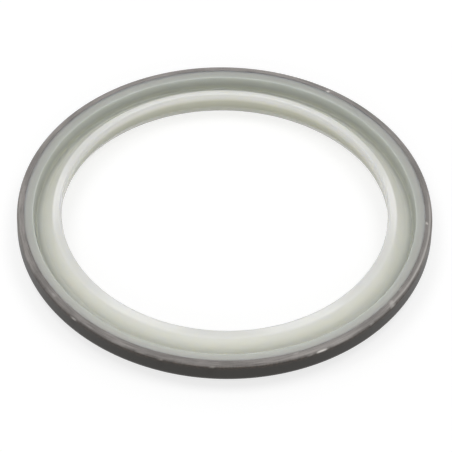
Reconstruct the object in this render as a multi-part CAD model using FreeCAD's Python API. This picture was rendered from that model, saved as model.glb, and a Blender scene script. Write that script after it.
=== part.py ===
"""Wiper seal for a pin joint: a drawn steel case with a polyurethane wiping body moulded into it.

Both pieces are bodies of revolution about Z. The seal lies on its heel, which is Z = 0, with the
wiping lip upwards, and the origin is on the axis. Lengths are in millimetres, angles in degrees.
"""
import FreeCAD, Part
import math
import os

# What the seal works between
PIN_DIAMETER = 80.0       # the lip wipes a pin of this size
SEAL_WIDTH = 10.0         # from the pin's surface to the housing bore that the case is pressed into
LIP_SQUEEZE = 0.8         # how much smaller than the pin the free lip is, on the radius

# Drawn steel case
SHEET = 1.7               # sheet thickness of wall and flange
CASE_HEIGHT = 5.8         # from the flange's back face to the crest of the trimmed edge
BEND_RADIUS = 0.3         # inside radius of the bend between wall and flange
TRIM_ANGLE = 3.0          # slope of the trimmed edge, falling outwards from its crest
TRIM_ROUND = 0.7          # rounding between the trimmed edge and the outer wall

# Heel of the moulded body, which wraps the flange's inner edge and stands below it
HEEL_DROP = 1.65          # from the flange's back face down to the heel's seat
HEEL_WALL = 1.4           # from the foot of the lead-in out to the flange's edge
HEEL_OVERLAP = 1.2        # how far the heel covers the flange's back face
HEEL_DRAFT = 0.8          # how far the heel's outer side leans in on its way down
HEEL_ROUND = 0.2

# Bore side of the moulded body, from the heel up to the lip
LEAD_IN_HEIGHT = 3.3      # height of the lead-in above the seat
LEAD_IN_ANGLE = 30.5      # its lean from the axis
RELIEF_ANGLE = 8.0        # lean of the wall between the lead-in and the land
RELIEF_ROUND = 3.0        # soft turn between the lead-in and the relief
LAND_HEIGHT = 0.4         # cylindrical land that touches the pin
LIP_FACE_HEIGHT = 1.1     # from the land up to the lip's tip
LIP_FACE_ANGLE = 10.0     # lean of that face

# Lip
LIP_PROUD = 0.55          # how far the lip's tip stands above the case's crest
TIP_ROUND = 0.35
LIP_TOP_WIDTH = 2.23      # from the land out to the lip's shoulder
LIP_TOP_ANGLE = 23.0      # fall of the lip's top, away from the tip
LIP_SHOULDER_ROUND = 1.5  # soft shoulder between the top and the back
LIP_BACK_ANGLE = 48.5     # fall of the lip's back, down into the groove
LIP_ROOT_ROUND = 0.4      # turn from the back into the groove's floor

# Groove behind the lip, and the band that is left between it and the case's crest
FLANGE_SKIN = 0.45        # thickness over the flange at the floor's outer corner
FLOOR_WIDTH = 1.67
FLOOR_RISE = 0.95         # how far the floor rises towards the lip
GROOVE_ROUND = 0.25
GROOVE_WALL_ANGLE = 12.2  # lean of the groove's outer wall
BAND_ANGLE = 5.0          # fall of the band towards the groove
BAND_EDGE_ROUND = 0.15


def lean(height, angle):
    """Sideways run of a wall of this height that leans by this angle from the axis."""
    return height * math.tan(math.radians(angle))


# Heights that follow from the sizes above
back_z = HEEL_DROP
flange_top_z = back_z + SHEET
crest_z = back_z + CASE_HEIGHT
tip_z = crest_z + LIP_PROUD
land_top_z = tip_z - LIP_FACE_HEIGHT
land_bottom_z = land_top_z - LAND_HEIGHT

# Radii that follow from them
wall_outer_r = PIN_DIAMETER / 2 + SEAL_WIDTH
wall_inner_r = wall_outer_r - SHEET
land_r = PIN_DIAMETER / 2 - LIP_SQUEEZE
lead_in_top_r = land_r + lean(land_bottom_z - LEAD_IN_HEIGHT, RELIEF_ANGLE)
lead_in_foot_r = lead_in_top_r + lean(LEAD_IN_HEIGHT, LEAD_IN_ANGLE)
flange_r = lead_in_foot_r + HEEL_WALL


def bearing(angle):
    """Unit vector in the section plane, as (radial, axial), at an angle above the outward direction."""
    return math.cos(math.radians(angle)), math.sin(math.radians(angle))


def corner_over(centre, radius, first_normal, second_normal):
    """Sharp corner of the two faces that a rounding about this centre would join.

    The normals are the bearings of the two faces' outward normals.
    """
    middle = bearing((first_normal + second_normal) / 2)
    reach = radius / math.cos(math.radians((first_normal - second_normal) / 2))
    return centre[0] + reach * middle[0], centre[1] + reach * middle[1]


def crossing(first, first_bearing, second, second_bearing):
    """Point where two lines in the section plane meet, each given by a point and a bearing."""
    ax, az = bearing(first_bearing)
    bx, bz = bearing(second_bearing)
    dx, dz = second[0] - first[0], second[1] - first[1]
    along = (dx * bz - dz * bx) / (ax * bz - az * bx)
    return first[0] + along * ax, first[1] + along * az


def section(corners):
    """Closed wire in the XZ plane through corners (radius, height, rounding), each one rounded."""
    count = len(corners)
    points = [FreeCAD.Vector(radius, 0, height) for radius, height, _ in corners]
    trims = []
    for i, (_, _, rounding) in enumerate(corners):
        corner = points[i]
        to_last = (points[i - 1] - corner).normalize()
        to_next = (points[(i + 1) % count] - corner).normalize()
        if rounding == 0:
            trims.append((corner, None, corner))
            continue
        half = to_last.getAngle(to_next) / 2
        run = rounding / math.tan(half)
        inward = (to_last + to_next).normalize()
        middle = corner + inward * (rounding / math.sin(half) - rounding)
        trims.append((corner + to_last * run, middle, corner + to_next * run))
    edges = []
    for i, (start, middle, end) in enumerate(trims):
        if middle is not None:
            edges.append(Part.Arc(start, middle, end).toShape())
        edges.append(Part.LineSegment(end, trims[(i + 1) % count][0]).toShape())
    return Part.Wire(edges)


def turned(corners):
    """Solid of revolution about Z with this section."""
    face = Part.Face(section(corners))
    solid = face.revolve(FreeCAD.Vector(0, 0, 0), FreeCAD.Vector(0, 0, 1), 360)
    return solid


def bonded_corners():
    """The case's inside, from the crest of the wall down to the flange's back face.

    The moulded body is bonded to the case along this line, so both sections use it.
    """
    return [
        (wall_inner_r, crest_z, 0),
        (wall_inner_r, flange_top_z, BEND_RADIUS),
        (flange_r, flange_top_z, 0),
        (flange_r, back_z, 0),
    ]


def steel_case():
    """Drawn steel case: a pressed-in wall, a trimmed top edge and an inward flange at the back."""
    trim_z = crest_z - SHEET * math.tan(math.radians(TRIM_ANGLE))
    outside = [
        (wall_outer_r, back_z, SHEET + BEND_RADIUS),
        (wall_outer_r, trim_z, TRIM_ROUND),
    ]
    return turned(outside + bonded_corners())


def heel_corners():
    """Underside of the moulded body, from the flange's back face round to the bore."""
    heel_top_r = flange_r + HEEL_OVERLAP
    return [
        (heel_top_r, back_z, 0),
        (heel_top_r - HEEL_DRAFT, 0, HEEL_ROUND),
        (lead_in_foot_r, 0, HEEL_ROUND),
        (lead_in_top_r, LEAD_IN_HEIGHT, RELIEF_ROUND),
        (land_r, land_bottom_z, 0),
    ]


def lip_corners():
    """Lip and groove, from the wiping land over the tip and down to the band's edge."""
    tip_centre_z = tip_z - TIP_ROUND
    face_run = lean(tip_centre_z - land_top_z, LIP_FACE_ANGLE)
    face_offset = TIP_ROUND / math.cos(math.radians(LIP_FACE_ANGLE))
    tip_centre = (land_r + face_run + face_offset, tip_centre_z)
    tip = corner_over(tip_centre, TIP_ROUND, 180 - LIP_FACE_ANGLE, 90 - LIP_TOP_ANGLE)
    shoulder = crossing(tip, -LIP_TOP_ANGLE, (land_r + LIP_TOP_WIDTH, 0), 90)

    floor_outer_z = flange_top_z + FLANGE_SKIN
    floor_inner = crossing(shoulder, -LIP_BACK_ANGLE, (0, floor_outer_z + FLOOR_RISE), 0)
    floor_outer = (floor_inner[0] + FLOOR_WIDTH, floor_outer_z)
    crest = (wall_inner_r, crest_z)
    band_edge = crossing(floor_outer, 90 - GROOVE_WALL_ANGLE, crest, 180 + BAND_ANGLE)
    return [
        (land_r, land_top_z, 0),
        (*tip, TIP_ROUND),
        (*shoulder, LIP_SHOULDER_ROUND),
        (*floor_inner, LIP_ROOT_ROUND),
        (*floor_outer, GROOVE_ROUND),
        (*band_edge, BAND_EDGE_ROUND),
    ]


def wiper_body():
    """Moulded polyurethane body: the band, the groove, the wiping lip and the heel, in one piece."""
    return turned(bonded_corners() + heel_corners() + lip_corners())


def main():
    """Write one STEP file for each piece."""
    os.makedirs("parts", exist_ok=True)
    pieces = {"steel_case": steel_case(), "wiper_body": wiper_body()}
    for name, shape in pieces.items():
        shape.exportStep(f"parts/{name}.step")
        box = shape.optimalBoundingBox()
        print(f"{name}: valid {shape.isValid()}, {shape.Volume / 1000:.3f} cm3, "
              f"radius {box.XMax:.2f}, height {box.ZMin:.2f} to {box.ZMax:.2f}")


main()
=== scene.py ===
"""Looks of a pin joint's wiper seal: a drawn steel case with a milky polyurethane wiping body.

The ring lies on its heel at Z = 0 with its axis on Z. The studio is in metres. The sections, the worn
places and the finishes are in millimetres. A bearing is an angle about Z in degrees, measured from +X
towards -Y, so the side that faces the camera is at 90.
"""

import logging
import math
from collections.abc import Iterable
from dataclasses import dataclass, field
from enum import Enum

import bmesh
import bpy
from mathutils import Matrix, Vector

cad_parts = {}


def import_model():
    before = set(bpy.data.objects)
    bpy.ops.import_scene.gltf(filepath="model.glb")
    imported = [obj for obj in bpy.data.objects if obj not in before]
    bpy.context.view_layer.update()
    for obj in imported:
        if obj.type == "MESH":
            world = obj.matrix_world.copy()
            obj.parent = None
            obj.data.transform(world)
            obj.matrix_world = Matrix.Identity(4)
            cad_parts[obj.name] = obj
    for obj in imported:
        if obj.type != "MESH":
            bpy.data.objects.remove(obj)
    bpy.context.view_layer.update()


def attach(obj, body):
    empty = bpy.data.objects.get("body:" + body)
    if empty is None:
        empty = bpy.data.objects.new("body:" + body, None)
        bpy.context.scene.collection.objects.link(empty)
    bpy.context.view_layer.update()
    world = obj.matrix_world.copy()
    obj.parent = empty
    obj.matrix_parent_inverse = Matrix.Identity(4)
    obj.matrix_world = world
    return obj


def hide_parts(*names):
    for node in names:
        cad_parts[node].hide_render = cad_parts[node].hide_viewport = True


LOG = logging.getLogger("wiper_seal")
MM = 0.001
FACETS = 512              # sides of every turned ring
SMOOTH_UP_TO = 30         # faces that meet at less than this many degrees are shaded as one
SAME_PLACE = 1e-7         # vertices closer than this are one, in metres

Colour = tuple[float, float, float]
Stops = tuple[tuple[float, Colour], ...]
Socket = bpy.types.NodeSocket


class Slot(Enum):
    """Material slots of the two pieces."""

    CASE = "case_steel"
    BODY = "polyurethane"


class SelectBy(Enum):
    """What is selected in edit mode."""

    VERTEX = "VERT"
    EDGE = "EDGE"


# Shared modelling steps


def deselect_everything() -> None:
    """Leave no object selected and none active."""
    if bpy.context.object and bpy.context.object.mode != "OBJECT":
        bpy.ops.object.mode_set(mode="OBJECT")
    bpy.ops.object.select_all(action="DESELECT")
    bpy.context.view_layer.objects.active = None


def direction(bearing: float) -> Vector:
    """Horizontal unit vector that points outwards at a bearing.

    Args:
        bearing: Angle in degrees from +X towards -Y.

    Returns:
        The unit vector.
    """
    angle = math.radians(bearing)
    return Vector((math.cos(angle), -math.sin(angle), 0))


def run(length: float, angle: float) -> float:
    """Sideways run over a length, of a line that leans from it by an angle in degrees."""
    return length * math.tan(math.radians(angle))


@dataclass(frozen=True)
class Corner:
    """One corner of a turned section, in millimetres.

    A rounded corner is bevelled in the given number of steps. A crisp one stays a hard line.
    """

    radius: float
    height: float
    rounding: float = 0.0
    steps: int = 0
    crisp: bool = False


class TurnedRing:
    """A closed ring, modelled from one circle that is extruded from corner to corner."""

    def __init__(self, name: str, corners: list[Corner]) -> None:
        """Keep the name and the section, whose corners run once round it."""
        self.name = name
        self.corners = corners

    def build(self) -> bpy.types.Object:
        """Model the ring.

        Returns:
            The finished object, at the origin, with its normals outwards.
        """
        first = self.corners[0]
        deselect_everything()
        bpy.ops.mesh.primitive_circle_add(
            vertices=FACETS, radius=first.radius * MM, location=(0, 0, first.height * MM))
        ring = bpy.context.object
        ring.name = ring.data.name = self.name
        bpy.ops.object.transform_apply(location=True, rotation=True, scale=True)
        bpy.ops.object.mode_set(mode="EDIT")
        bpy.ops.mesh.select_mode(type=SelectBy.EDGE.value)
        bpy.ops.mesh.select_all(action="SELECT")
        for last, corner in zip(self.corners, self.corners[1:]):
            self.extrude(last, corner)
        self.close()
        for corner, turn in zip(self.corners, self.turns()):
            if corner.steps:
                self.round_off(corner, turn)
        bpy.ops.mesh.select_all(action="SELECT")
        bpy.ops.mesh.remove_doubles(threshold=SAME_PLACE)
        bpy.ops.mesh.normals_make_consistent(inside=False)
        bpy.ops.object.mode_set(mode="OBJECT")
        bpy.ops.object.shade_smooth_by_angle(angle=math.radians(SMOOTH_UP_TO))
        self.mark_crisp_lines()
        return ring

    def extrude(self, last: Corner, corner: Corner) -> None:
        """Extrude the selected loop of edges.

        Args:
            last: The corner where the loop is.
            corner: The corner that it is taken to.
        """
        rise = (corner.height - last.height) * MM
        bpy.ops.mesh.extrude_edges_move(TRANSFORM_OT_translate={"value": (0, 0, rise)})
        growth = corner.radius / last.radius
        bpy.ops.transform.resize(
            value=(growth, growth, 1), center_override=(0, 0, corner.height * MM))

    def close(self) -> None:
        """Bridge the last loop to the first."""
        bpy.ops.mesh.select_all(action="DESELECT")
        bpy.ops.mesh.select_non_manifold()
        bpy.ops.mesh.bridge_edge_loops()

    def turns(self) -> list[float]:
        """Find how far the section turns at each corner.

        Returns:
            One angle for each corner, in radians.
        """
        found = []
        count = len(self.corners)
        for i, corner in enumerate(self.corners):
            here = Vector((corner.radius, corner.height))
            before = self.corners[i - 1]
            after = self.corners[(i + 1) % count]
            arriving = here - Vector((before.radius, before.height))
            leaving = Vector((after.radius, after.height)) - here
            found.append(arriving.angle(leaving))
        return found

    def round_off(self, corner: Corner, turn: float) -> None:
        """Bevel the loop of edges at a corner, so that the bevel has the corner's rounding."""
        self.select_loop(corner)
        bpy.ops.mesh.bevel(
            offset_type="OFFSET", offset=corner.rounding * math.tan(turn / 2) * MM,
            segments=corner.steps, profile=0.5, affect="EDGES", clamp_overlap=False)

    def select_loop(self, corner: Corner, reach: float = 0.004) -> None:
        """Select the circle of edges that runs through a corner, in edit mode.

        Args:
            corner: The corner of the section.
            reach: How far off an end of an edge may lie, in millimetres.
        """
        bpy.ops.mesh.select_all(action="DESELECT")
        mesh = bmesh.from_edit_mesh(bpy.context.object.data)
        for edge in mesh.edges:
            ends = [(v.co.xy.length / MM, v.co.z / MM) for v in edge.verts]
            edge.select = all(
                abs(r - corner.radius) < reach and abs(z - corner.height) < reach for r, z in ends)
        mesh.select_flush_mode()
        bmesh.update_edit_mesh(bpy.context.object.data)

    def mark_crisp_lines(self) -> None:
        """Make the crisp corners hard lines in the shading."""
        bpy.ops.object.mode_set(mode="EDIT")
        for corner in self.corners:
            if corner.crisp:
                self.select_loop(corner)
                bpy.ops.mesh.mark_sharp()
        bpy.ops.object.mode_set(mode="OBJECT")


# Materials


@dataclass(frozen=True)
class Pattern:
    """Cloudy noise that follows a ring's circumference.

    It moves by so much for one radian of bearing, and by so much for one millimetre across.
    """

    per_radian: float
    per_mm: float
    detail: float


class Wiring:
    """Nodes of a material or of the world, with short ways to add and join them."""

    def __init__(self, owner: bpy.types.Material | bpy.types.World, output: str) -> None:
        """Start with an output and nothing else.

        Args:
            owner: The material or the world.
            output: The type of its output node.
        """
        owner.use_nodes = True
        self.owner = owner
        self.tree = owner.node_tree
        self.tree.nodes.clear()
        self.output = self.node(output)

    @classmethod
    def of_material(cls, name: str) -> "Wiring":
        """Start the nodes of a new material."""
        return cls(bpy.data.materials.new(name), "ShaderNodeOutputMaterial")

    def node(self, kind: str, inputs: dict | None = None, **settings: object) -> bpy.types.Node:
        """Add a node.

        Args:
            kind: The node's type.
            inputs: A value or another node's output for each input socket.
            settings: The node's own properties.

        Returns:
            The node.
        """
        made = self.tree.nodes.new(kind)
        for key, value in settings.items():
            setattr(made, key, value)
        for key, value in (inputs or {}).items():
            if isinstance(value, Socket):
                self.tree.links.new(value, made.inputs[key])
            else:
                made.inputs[key].default_value = value
        return made

    def math(self, operation: str, *values: float | Socket) -> Socket:
        """Work out one number from others."""
        return self.node("ShaderNodeMath", dict(enumerate(values)), operation=operation).outputs[0]

    def vector_math(self, operation: str, *values: Colour | Socket) -> bpy.types.Node:
        """Add a node that works on vectors."""
        return self.node("ShaderNodeVectorMath", dict(enumerate(values)), operation=operation)

    def span(self, value: Socket, low: float, high: float) -> Socket:
        """Make a smooth step of a value.

        Args:
            value: The value.
            low: Where the step starts, at 0.
            high: Where it ends, at 1.

        Returns:
            The step's socket.
        """
        inputs = {"Value": value, "From Min": low, "From Max": high}
        made = self.node("ShaderNodeMapRange", inputs, interpolation_type="SMOOTHSTEP")
        return made.outputs["Result"]

    def blend(self, share: Socket, first: Colour | Socket, second: Colour | Socket) -> Socket:
        """Mix two colours.

        Args:
            share: The second colour's share.
            first: The colour where the share is 0.
            second: The colour where the share is 1.

        Returns:
            The mixed colour's socket.
        """
        made = self.node("ShaderNodeMix", data_type="RGBA")
        for key, value in (("Factor_Float", share), ("A_Color", first), ("B_Color", second)):
            socket = next(s for s in made.inputs if s.identifier == key)
            if isinstance(value, Socket):
                self.tree.links.new(value, socket)
            else:
                socket.default_value = (*value, 1)
        return next(s for s in made.outputs if s.identifier == "Result_Color")

    def ramp(self, value: Socket, stops: Stops) -> Socket:
        """Make a colour that follows a value.

        Args:
            value: The value.
            stops: Values in rising order, each with the colour there.

        Returns:
            The colour's socket.
        """
        low = stops[0][0]
        high = stops[-1][0]
        share = self.math("DIVIDE", self.math("SUBTRACT", value, low), high - low)
        made = self.node("ShaderNodeValToRGB", {0: share})
        elements = made.color_ramp.elements
        while len(elements) < len(stops):
            elements.new(1.0)
        for element, (stop, colour) in zip(elements, stops):
            element.position = (stop - low) / (high - low)
            element.color = (*colour, 1)
        return made.outputs["Color"]

    def place(self) -> tuple[Socket, Socket, Socket]:
        """Find the place of a point on a ring.

        Returns:
            Its radius in millimetres, its height in millimetres, and the unit vector from the axis.
        """
        spot = self.node("ShaderNodeTexCoord").outputs["Object"]
        flat = self.vector_math("MULTIPLY", spot, (1, 1, 0)).outputs[0]
        radius = self.vector_math("LENGTH", flat).outputs["Value"]
        outwards = self.vector_math("NORMALIZE", flat).outputs[0]
        height = self.node("ShaderNodeSeparateXYZ", {0: spot}).outputs["Z"]
        return self.math("MULTIPLY", radius, 1 / MM), self.math("MULTIPLY", height, 1 / MM), outwards

    def noise(self, pattern: Pattern, outwards: Socket, across: Socket) -> Socket:
        """Make noise round the ring that has no seam.

        Args:
            pattern: The noise.
            outwards: The unit vector from the axis.
            across: A length across the ring, in millimetres.

        Returns:
            The socket of the noise, which lies about one half.
        """
        parts = self.node("ShaderNodeSeparateXYZ", {0: outwards}).outputs
        vector = self.node("ShaderNodeCombineXYZ", {
            "X": self.math("MULTIPLY", parts["X"], pattern.per_radian),
            "Y": self.math("MULTIPLY", parts["Y"], pattern.per_radian),
            "Z": self.math("MULTIPLY", across, pattern.per_mm)}).outputs[0]
        inputs = {"Vector": vector, "Scale": 1.0, "Detail": pattern.detail}
        return self.node("ShaderNodeTexNoise", inputs).outputs[0]

    def seen(self) -> Socket:
        """Find out whether a ray comes from the camera, from gloss or through glass.

        Returns:
            The socket, which is 1 for such a ray and 0 for all others.
        """
        path = self.node("ShaderNodeLightPath").outputs
        seen = self.math("MAXIMUM", path["Is Camera Ray"], path["Is Glossy Ray"])
        return self.math("MAXIMUM", seen, path["Is Transmission Ray"])

    def finish(self, shader: bpy.types.Node) -> bpy.types.Material | bpy.types.World:
        """Join the shader to the output and hand over the material or the world."""
        self.tree.links.new(shader.outputs[0], self.output.inputs["Surface"])
        return self.owner


@dataclass(frozen=True)
class PolyurethaneFinish:
    """Milky cast polyurethane, ivory where it is thick and greyer over the dark case.

    Its colour follows the height in the bore and the radius outside it. It changes over between the
    two radii of the lip's top. Part of the colour is painted light: the lip's root and the groove's
    outer corner are painted lighter against the shade that falls there, the groove's wall is darker
    partly as painted shade, the bore is painted lighter towards the lip, and a painted shade line
    runs along the bond with the case.
    """

    tone_and_shade_by_radius: Stops = (
        (41.4, (0.88, 0.88, 0.80)),
        (42.3, (0.93, 0.93, 0.81)),
        # Painted light: the root of the lip's back is painted nearly white against the shade in the
        # groove.
        (43.0, (0.97, 0.97, 0.82)),
        (43.5, (0.97, 0.97, 0.81)),
        # Darker into the groove, partly over the case and partly as painted shade.
        (44.3, (0.80, 0.805, 0.68)),
        (45.0, (0.66, 0.67, 0.555)),
        # Painted light: a lighter line along the groove's outer corner, against the shade there.
        (45.35, (0.70, 0.715, 0.60)),
        # Partly painted shade: the groove's wall is darker where shade falls, and greyer over the
        # case.
        (45.65, (0.435, 0.45, 0.43)),
        (46.1, (0.52, 0.545, 0.52)),
        (46.35, (0.49, 0.51, 0.48)),
        (47.0, (0.505, 0.515, 0.48)),
        (48.0, (0.56, 0.56, 0.51)),
        # Painted shade: a darker line along the bond with the case.
        (48.25, (0.47, 0.47, 0.43)))
    tone_and_light_by_height: Stops = (
        (0.5, (0.59, 0.60, 0.45)),
        (3.3, (0.61, 0.62, 0.49)),
        (5.4, (0.72, 0.725, 0.62)),
        # Darker low down over the flange; from here up painted lighter, as painted light on the lip's
        # inner face.
        (6.4, (0.92, 0.92, 0.83)),
        (7.1, (0.93, 0.93, 0.86)),
        (7.6, (0.86, 0.86, 0.80)))
    lip_top: tuple[float, float] = (41.2, 41.6)
    clouds: Pattern = Pattern(9.0, 0.6, 3.0)
    cloudiness: float = 0.06
    clear_shade: float = 0.97
    roughness: float = 0.2
    refraction: float = 1.5
    scatter: float = 4.0
    scatter_tint: Colour = (1.0, 0.95, 0.8)

    def material(self) -> bpy.types.Material:
        """Make the material.

        Returns:
            The material.
        """
        wires = Wiring.of_material("cast_polyurethane")
        radius, height, outwards = wires.place()
        tone_and_painted_light = wires.blend(wires.span(radius, *self.lip_top), wires.ramp(height, self.tone_and_light_by_height),
                           wires.ramp(radius, self.tone_and_shade_by_radius))
        cloud = wires.noise(self.clouds, outwards, radius)
        shade = wires.math("ADD", wires.math("MULTIPLY", cloud, self.cloudiness), self.clear_shade)
        shader = wires.node("ShaderNodeBsdfPrincipled", {
            "Base Color": wires.vector_math("MULTIPLY", tone_and_painted_light, shade).outputs[0],
            "Roughness": self.roughness, "IOR": self.refraction,
            "Subsurface Weight": 1.0, "Subsurface Scale": self.scatter * MM,
            "Subsurface Radius": self.scatter_tint})
        return wires.finish(shader)


@dataclass(frozen=True)
class SteelFinish:
    """Dark drawn sheet steel whose trimmed edge is worn brighter, with painted glints and painted
    highlight lines on it.

    The pairs for the brown and for the contrast are where a smooth step starts and ends. The rim's
    shades multiply its colour, and its fade is a reach below the rim's height and one above it.
    """

    wall: Colour = (0.032, 0.0295, 0.026)
    grain: Pattern = Pattern(60.0, 4.0, 4.0)
    brown: Colour = (0.075, 0.055, 0.044)
    brown_heights: tuple[float, float] = (5.4, 7.0)
    brown_grain: tuple[float, float] = (0.35, 0.7)
    rim: Colour = (0.205, 0.191, 0.181)
    rim_shades: tuple[float, float] = (0.72, 1.3)
    rim_height: float = 7.1
    rim_fade: tuple[float, float] = (0.45, 0.4)
    rim_line: Pattern = Pattern(90.0, 0.3, 2.0)
    rim_unevenness: float = 0.3
    rim_streaks: Pattern = Pattern(14.0, 9.0, 3.0)
    rim_patches: Pattern = Pattern(4.0, 0.5, 2.0)
    rim_contrast: tuple[float, float] = (0.35, 0.65)
    patchiness: float = 0.45
    bare_and_glint: Colour = (0.80, 0.77, 0.73)
    metal: float = 0.45
    roughness: float = 0.52
    polish: float = 0.12

    def material(self) -> bpy.types.Material:
        """Make the material.

        Returns:
            The material.
        """
        wires = Wiring.of_material("dark_sheet_steel")
        radius, height, outwards = wires.place()
        grain = wires.noise(self.grain, outwards, height)
        brown = wires.math(
            "MULTIPLY", wires.span(height, *self.brown_heights), wires.span(grain, *self.brown_grain))
        wall = wires.blend(brown, self.wall, self.brown)
        on_rim = self.rim_share(wires, outwards, radius, height)
        tone_and_painted_light = wires.blend(on_rim, wall, self.rim_tone(wires, outwards, radius))
        bare_and_glint = wires.node("ShaderNodeAttribute", attribute_name=Case.BARE_AND_GLINT).outputs["Fac"]
        # Mix in the bright paint of the marks: worn metal, painted glints and painted highlight
        # lines.
        tone_and_painted_light = wires.blend(bare_and_glint, tone_and_painted_light, self.bare_and_glint)
        rough = wires.math("SUBTRACT", self.roughness, wires.math("MULTIPLY", grain, self.polish))
        shader = wires.node("ShaderNodeBsdfPrincipled", {
            "Base Color": tone_and_painted_light, "Roughness": rough, "Metallic": self.metal})
        return wires.finish(shader)

    def rim_share(self, wires: Wiring, outwards: Socket, radius: Socket, height: Socket) -> Socket:
        """Make the rim's share, which starts along an uneven line at the rim's height.

        Args:
            wires: The material's nodes.
            outwards: The unit vector from the axis.
            radius: The radius in millimetres.
            height: The height in millimetres.

        Returns:
            The share's socket.
        """
        uneven = wires.noise(self.rim_line, outwards, radius)
        shift = wires.math("MULTIPLY", wires.math("SUBTRACT", uneven, 0.5), self.rim_unevenness)
        below, above = self.rim_fade
        return wires.span(
            wires.math("ADD", height, shift), self.rim_height - below, self.rim_height + above)

    def rim_tone(self, wires: Wiring, outwards: Socket, radius: Socket) -> Socket:
        """Make the rim's colour, with streaks round it and patches of wear.

        Args:
            wires: The material's nodes.
            outwards: The unit vector from the axis.
            radius: The radius in millimetres.

        Returns:
            The colour's socket.
        """
        streaks = wires.noise(self.rim_streaks, outwards, radius)
        patches = wires.noise(self.rim_patches, outwards, radius)
        mixed = wires.math(
            "ADD", wires.math("MULTIPLY", streaks, 1 - self.patchiness),
            wires.math("MULTIPLY", patches, self.patchiness))
        dark, light = (tuple(shade * c for c in self.rim) for shade in self.rim_shades)
        return wires.blend(wires.span(mixed, *self.rim_contrast), dark, light)


# The two pieces


@dataclass(frozen=True)
class Bond:
    """Sheet and inside of the case, which both pieces share."""

    outer: float = 49.985
    sheet: float = 1.7
    back: float = 1.65
    crest: float = 7.45
    flange_bore: float = 42.994
    bend: float = 0.3

    @property
    def inner(self) -> float:
        """Radius of the wall's inside."""
        return self.outer - self.sheet

    @property
    def flange_top(self) -> float:
        """Height of the flange's upper face."""
        return self.back + self.sheet


@dataclass(frozen=True)
class WearAndGlint:
    """A bright mark on the case's trimmed edge. Some are worn nicks, whose paint is also a painted
    glint; the others are painted highlight lines and painted sheen.

    The bearing is in degrees. The length round the ring, the place on the section as a radius and
    a height, the reach across it and the depth of the dent are in millimetres.
    """

    bearing: float
    length: float
    place: tuple[float, float]
    reach: float
    shine: float
    depth: float = 0.0

    def share(self, spot: Vector) -> float:
        """Find how much of the mark's bright paint a point of the case gets.

        Args:
            spot: The point.

        Returns:
            The share, from 0 to 1.
        """
        radius, height = self.place
        bearing = math.degrees(math.atan2(-spot.y, spot.x))
        turned = (bearing - self.bearing + 180) % 360 - 180
        along = abs(math.radians(turned)) * spot.xy.length / MM / (self.length / 2)
        across = math.hypot(spot.xy.length / MM - radius, spot.z / MM - height) / self.reach
        return max(0.0, 1 - along ** 3) * max(0.0, 1 - across ** 2)


# Places on the section of the trimmed edge, as a radius and a height
ROUNDING = (49.8, 7.15)
LOW_EDGE = (49.97, 6.9)
TURN = (49.93, 6.95)
FLAT = (49.1, 7.4)
FLAT_LINE = (49.35, 7.38)

WEAR_AND_GLINTS = (
    # Worn nicks, some dented; their bright paint is also a painted glint where each catches the
    # light.
    WearAndGlint(62.2, 3.2, (49.95, 6.98), 0.32, 1.0, 0.06),
    WearAndGlint(65.5, 1.6, LOW_EDGE, 0.3, 0.25),
    WearAndGlint(56.0, 8.0, ROUNDING, 0.4, 0.22),
    WearAndGlint(69.2, 1.2, (48.6, 7.43), 0.4, 0.2, 0.06),
    WearAndGlint(92.4, 1.2, LOW_EDGE, 0.35, 0.22, 0.10),
    WearAndGlint(106.3, 1.2, LOW_EDGE, 0.35, 0.22, 0.10),
    WearAndGlint(112.0, 3.0, ROUNDING, 0.3, 0.12),
    WearAndGlint(119.0, 7.0, ROUNDING, 0.35, 0.14),
    WearAndGlint(134.0, 2.0, LOW_EDGE, 0.35, 0.45, 0.06),
    WearAndGlint(143.8, 1.0, FLAT, 0.45, 0.20, 0.05),
    WearAndGlint(155.5, 4.5, ROUNDING, 0.5, 0.12),
    WearAndGlint(160.0, 4.5, ROUNDING, 0.5, 0.14),
    WearAndGlint(36.6, 1.6, ROUNDING, 0.5, 0.40, 0.08),
    WearAndGlint(36.2, 1.2, FLAT, 0.6, 0.30),
    WearAndGlint(45.5, 1.4, ROUNDING, 0.4, 0.22, 0.06),
    WearAndGlint(3.7, 0.7, (48.6, 7.43), 0.4, 0.65),
    WearAndGlint(30.6, 0.8, (48.4, 7.45), 0.35, 0.35),
    WearAndGlint(300.8, 0.8, (48.5, 7.44), 0.4, 1.0),
    # Painted highlight lines along the edge's turn, where the two sides catch the light.
    WearAndGlint(2.0, 36.0, TURN, 0.35, 0.22),
    WearAndGlint(180.0, 34.0, TURN, 0.35, 0.22),
    # Patches of painted sheen on the flat of the trimmed edge.
    WearAndGlint(58.0, 24.0, (49.4, 7.35), 0.9, 0.1),
    WearAndGlint(211.0, 16.0, (49.4, 7.38), 0.7, 0.09),
    # Painted highlight lines along the outer part of the flat.
    WearAndGlint(15.0, 42.0, FLAT_LINE, 0.3, 0.3),
    WearAndGlint(175.0, 20.0, FLAT_LINE, 0.3, 0.12),
)


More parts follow.
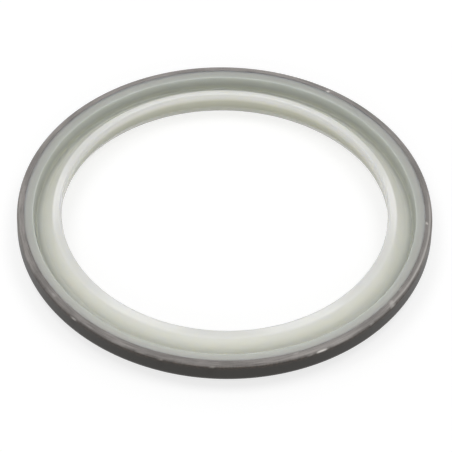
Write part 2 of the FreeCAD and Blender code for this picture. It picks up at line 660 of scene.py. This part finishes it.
@dataclass
class Case:
    """Drawn steel case: the wall, the trimmed edge and the flange at the back.

    The loops are extra rings of vertices near the edge, where the wear, the painted glints and the
    painted highlight lines are painted.
    """

    BARE_AND_GLINT = "bare_and_glint"         # the mesh attribute that holds the worn places, painted glints and painted highlights

    bond: Bond
    trim_angle: float = 3.0
    trim_round: float = 0.7
    wall_loop: float = 0.9
    edge_loops: tuple[float, float] = (0.8, 0.4)
    wear_and_glints: tuple[WearAndGlint, ...] = WEAR_AND_GLINTS
    dent_share: float = 0.3
    dent_drop: float = 0.6

    def corners(self) -> list[Corner]:
        """Lay out the case's section.

        Returns:
            The corners, from the flange's bore round the outside to the crest and back.
        """
        bond = self.bond
        slope = run(1.0, self.trim_angle)
        trim = bond.crest - bond.sheet * slope
        return [
            Corner(bond.flange_bore, bond.back, crisp=True),
            Corner(bond.outer, bond.back, bond.sheet + bond.bend, 8),
            Corner(bond.outer, trim - self.wall_loop),
            Corner(bond.outer, trim, self.trim_round, 6),
            *(Corner(bond.inner + step, bond.crest - step * slope) for step in self.edge_loops),
            Corner(bond.inner, bond.crest, crisp=True),
            Corner(bond.inner, bond.flange_top, bond.bend, 4),
            Corner(bond.flange_bore, bond.flange_top, crisp=True),
        ]

    def build(self) -> bpy.types.Object:
        """Model and dress the case.

        Returns:
            The finished piece, riding on the root body in place of its CAD node.
        """
        piece = TurnedRing("drawn_case", self.corners()).build()
        self.paint_wear_and_glints(piece)
        piece.data.materials.append(SteelFinish().material())
        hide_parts("steel_case")
        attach(piece, "root")
        return piece

    def paint_wear_and_glints(self, piece: bpy.types.Object) -> None:
        """Paint the worn places, the painted glints and the painted highlight lines on the edge and
        press the dents in.

        Args:
            piece: The modelled case.
        """
        bare_and_glint = piece.data.attributes.new(self.BARE_AND_GLINT, "FLOAT", "POINT").data
        for vertex in piece.data.vertices:
            bare_and_glint[vertex.index].value = max(wear_and_glint.shine * wear_and_glint.share(vertex.co) for wear_and_glint in self.wear_and_glints)
        for wear_and_glint in self.wear_and_glints:
            if wear_and_glint.depth:
                self.press(wear_and_glint)

    def press(self, wear_and_glint: WearAndGlint) -> None:
        """Push the vertices of one dent inwards and down.

        Args:
            wear_and_glint: The worn place that the dent belongs to.
        """
        bpy.ops.object.mode_set(mode="EDIT")
        bpy.ops.mesh.select_mode(type=SelectBy.VERTEX.value)
        bpy.ops.mesh.select_all(action="DESELECT")
        mesh = bmesh.from_edit_mesh(bpy.context.object.data)
        for vertex in mesh.verts:
            vertex.select = wear_and_glint.share(vertex.co) > self.dent_share
        mesh.select_flush_mode()
        bmesh.update_edit_mesh(bpy.context.object.data)
        push = -direction(wear_and_glint.bearing) - Vector((0, 0, self.dent_drop))
        bpy.ops.transform.translate(value=push.normalized() * wear_and_glint.depth * MM)
        bpy.ops.object.mode_set(mode="OBJECT")


@dataclass
class Body:
    """Moulded polyurethane body: the band, the groove, the wiping lip and the heel.

    The shoulder is a width from the land and the fall of the lip's top. The floor is a width and a
    rise towards the lip. The lead-in is a height and a lean.
    """

    bond: Bond
    land: float = 39.2
    land_height: float = 0.4
    face_height: float = 1.1
    face_lean: float = 10.0
    tip_proud: float = 0.544
    tip_round: float = 0.35
    shoulder: tuple[float, float] = (2.23, 23.0)
    shoulder_round: float = 1.5
    back_angle: float = 48.5
    root_round: float = 0.4
    floor: tuple[float, float] = (1.67, 0.95)
    floor_round: float = 0.5
    skin: float = 0.45
    groove_lean: float = 12.2
    band_fall: float = 5.0
    band_round: float = 0.3
    lead_in: tuple[float, float] = (3.3, 30.5)
    relief_lean: float = 8.0
    relief_round: float = 3.0
    heel_wall: float = 1.4
    heel_overlap: float = 1.2
    heel_draft: float = 0.8
    heel_round: float = 0.2
    seat: float = 0.002

    @property
    def land_top(self) -> float:
        """Height at which the land ends and the lip's inner face begins."""
        return self.bond.crest + self.tip_proud - self.face_height

    def tip(self) -> tuple[float, float]:
        """Find the sharp corner that the tip's rounding takes off.

        Returns:
            Its radius and its height.
        """
        inner = math.radians(180 - self.face_lean)
        outer = math.radians(90 - self.shoulder[1])
        height = self.bond.crest + self.tip_proud - self.tip_round
        face_run = run(height - self.land_top, self.face_lean)
        radius = self.land + face_run - self.tip_round / math.cos(inner)
        middle = (inner + outer) / 2
        reach = self.tip_round / math.cos((inner - outer) / 2)
        return radius + reach * math.cos(middle), height + reach * math.sin(middle)

    def heel(self) -> list[Corner]:
        """Lay out the heel and the bore below the lip.

        Returns:
            The corners, from the flange's back face round the heel and up to the land.
        """
        rise, lean = self.lead_in
        low = self.land_top - self.land_height
        throat = self.land + run(low - rise, self.relief_lean)
        foot = throat + run(rise, lean)
        overlap = foot + self.heel_wall + self.heel_overlap
        return [
            Corner(overlap, self.bond.back, crisp=True),
            Corner(overlap - self.heel_draft, self.seat, self.heel_round, 4),
            Corner(foot, self.seat, self.heel_round, 4),
            Corner(throat, rise, self.relief_round, 6),
            Corner(self.land, low, crisp=True),
        ]

    def lip(self) -> list[Corner]:
        """Lay out the lip, the groove and the band's edge.

        Returns:
            The corners, from the wiping edge over the lip and outwards.
        """
        tip_r, tip_z = self.tip()
        top_width, fall = self.shoulder
        shoulder_r = self.land + top_width
        shoulder_z = tip_z - run(shoulder_r - tip_r, fall)
        floor_width, rise = self.floor
        outer_z = self.bond.flange_top + self.skin
        floor_z = outer_z + rise
        floor_r = shoulder_r + run(shoulder_z - floor_z, 90 - self.back_angle)
        outer_r = floor_r + floor_width
        slope = run(1.0, self.band_fall)
        lean = run(1.0, self.groove_lean)
        across = self.bond.inner - outer_r
        band_rise = (self.bond.crest - outer_z - slope * across) / (1 - slope * lean)
        return [
            Corner(self.land, self.land_top, crisp=True),
            Corner(tip_r, tip_z, self.tip_round, 10),
            Corner(shoulder_r, shoulder_z, self.shoulder_round, 8),
            Corner(floor_r, floor_z, self.root_round, 6),
            Corner(outer_r, outer_z, self.floor_round, 8),
            Corner(outer_r + lean * band_rise, outer_z + band_rise, self.band_round, 6),
        ]

    def corners(self) -> list[Corner]:
        """Lay out the body's section.

        Returns:
            The corners, from the case's crest down the bond, round the heel and up to the lip.
        """
        bond = self.bond
        bonded = [
            Corner(bond.inner, bond.crest, crisp=True),
            Corner(bond.inner, bond.flange_top, bond.bend, 4),
            Corner(bond.flange_bore, bond.flange_top, crisp=True),
            Corner(bond.flange_bore, bond.back, crisp=True),
        ]
        return bonded + self.heel() + self.lip()

    def build(self) -> bpy.types.Object:
        """Model and dress the body.

        Returns:
            The finished piece, riding on the root body in place of its CAD node.
        """
        piece = TurnedRing("wiper_moulding", self.corners()).build()
        piece.data.materials.append(PolyurethaneFinish().material())
        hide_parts("wiper_body")
        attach(piece, "root")
        return piece


# Floor, light and camera


@dataclass(frozen=True)
class Softbox:
    """A square lamp that faces the ring.

    It stands off the ring by a vector, in metres. The radiance is the brightness of its face, where
    1 is white. A lamp for gloss only shows in reflections and gives no diffuse light.
    """

    name: str
    towards: tuple[float, float, float]
    size: float
    radiance: float
    gloss_only: bool = False

    def stand(self, centre: Vector) -> None:
        """Add the lamp.

        Args:
            centre: The point that it faces.
        """
        towards = Vector(self.towards)
        lamp = bpy.data.lights.new(self.name, "AREA")
        lamp.shape = "SQUARE"
        lamp.size = self.size
        lamp.energy = self.radiance * math.pi * self.size ** 2
        carrier = bpy.data.objects.new(self.name, lamp)
        bpy.context.scene.collection.objects.link(carrier)
        carrier.location = centre + towards
        carrier.rotation_euler = towards.to_track_quat("Z", "Y").to_euler()
        carrier.visible_diffuse = not self.gloss_only


SOFTBOXES = (
    Softbox("softbox_left", (-0.35, 0.09, 0.93), 0.4, 3.15),
    Softbox("softbox_right", (0.35, 0.09, 0.93), 0.4, 3.15),
    Softbox("back_panel", (0.0, 1.0, 0.5), 0.6, 1.0),
    Softbox("back_left", (-0.7, 0.82, 0.46), 0.36, 2.5, gloss_only=True),
    Softbox("back_right", (0.7, 0.82, 0.46), 0.36, 2.5, gloss_only=True),
    Softbox("front_fill", (0.0, -1.8, 0.45), 1.3, 2.2),
)


@dataclass
class Studio:
    """A pale floor, a soft white surround, soft lamps and the camera.

    The aim is how far right of the centre and above it the camera looks.
    """

    floor_reach: float = 1.0
    floor_sides: int = 64
    floor_tone: Colour = (0.4, 0.4, 0.4)
    floor_glow: float = 0.72
    surround: float = 0.38
    lamps: tuple[Softbox, ...] = SOFTBOXES
    centre: Vector = field(default_factory=lambda: Vector((0, 0, 7.0 * MM)))
    distance: float = 0.8
    elevation: float = 46.17
    roll: float = 1.34
    lens: float = 264.7
    sensor: float = 36.0
    nearest: float = 0.01
    aim_right: float = 0.289 * MM
    aim_up: float = -3.635 * MM

    def build(self) -> None:
        """Set up everything round the ring."""
        self.floor()
        self.world()
        for lamp in self.lamps:
            lamp.stand(self.centre)
        self.camera()
        bpy.context.scene.view_settings.view_transform = "Standard"

    def floor(self) -> None:
        """Lay the pale floor. It shows white, keeps the ring's shadow and is clear from below."""
        deselect_everything()
        bpy.ops.mesh.primitive_circle_add(
            vertices=self.floor_sides, radius=self.floor_reach, fill_type="NGON", location=(0, 0, 0))
        floor = bpy.context.object
        floor.name = "floor"
        wires = Wiring.of_material("pale_floor")
        diffuse = wires.node("ShaderNodeBsdfDiffuse", {"Color": (*self.floor_tone, 1)})
        strength = wires.math("MULTIPLY", wires.seen(), self.floor_glow)
        glow = wires.node("ShaderNodeEmission", {"Color": (1, 1, 1, 1), "Strength": strength})
        pale = wires.node("ShaderNodeAddShader", {0: diffuse.outputs[0], 1: glow.outputs[0]})
        clear = wires.node("ShaderNodeBsdfTransparent")
        below = wires.node("ShaderNodeNewGeometry").outputs["Backfacing"]
        floor.data.materials.append(wires.finish(wires.node(
            "ShaderNodeMixShader", {0: below, 1: pale.outputs[0], 2: clear.outputs[0]})))

    def world(self) -> None:
        """Make a soft white surround, white to the camera, gloss and glass."""
        wires = Wiring(bpy.data.worlds.new("surround"), "ShaderNodeOutputWorld")
        strength = wires.node("ShaderNodeMapRange", {
            "Value": wires.seen(), "To Min": self.surround, "To Max": 1.0}).outputs["Result"]
        bpy.context.scene.world = wires.finish(wires.node(
            "ShaderNodeBackground", {"Color": (1, 1, 1, 1), "Strength": strength}))

    def camera(self) -> None:
        """Place the camera, rolled a little, as the photo's is."""
        height = math.radians(self.elevation)
        turn = math.radians(self.roll)
        towards = Vector((0, -math.cos(height), math.sin(height)))
        right = Vector((1, 0, 0))
        up = Vector((0, math.sin(height), math.cos(height)))
        across = math.cos(turn) * right + math.sin(turn) * up
        upward = -math.sin(turn) * right + math.cos(turn) * up
        location = self.centre + self.distance * towards
        aim = self.centre + self.aim_right * across + self.aim_up * upward
        back = (location - aim).normalized()
        across = upward.cross(back).normalized()
        upward = back.cross(across)
        lens = bpy.data.cameras.new("camera")
        lens.lens = self.lens
        lens.sensor_width = self.sensor
        lens.clip_start = self.nearest
        carrier = bpy.data.objects.new("camera", lens)
        bpy.context.scene.collection.objects.link(carrier)
        turned = Matrix((across, upward, back)).transposed().to_4x4()
        carrier.matrix_world = Matrix.Translation(location) @ turned
        bpy.context.scene.camera = carrier


def main() -> None:
    """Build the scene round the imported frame."""
    logging.basicConfig(level=logging.INFO, format="%(name)s: %(message)s")
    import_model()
    bond = Bond()
    for part in (Case(bond), Body(bond)):
        piece = part.build()
        LOG.info("%s: %d faces", piece.name, len(piece.data.polygons))
    Studio().build()


if __name__ == "__main__":
    main()
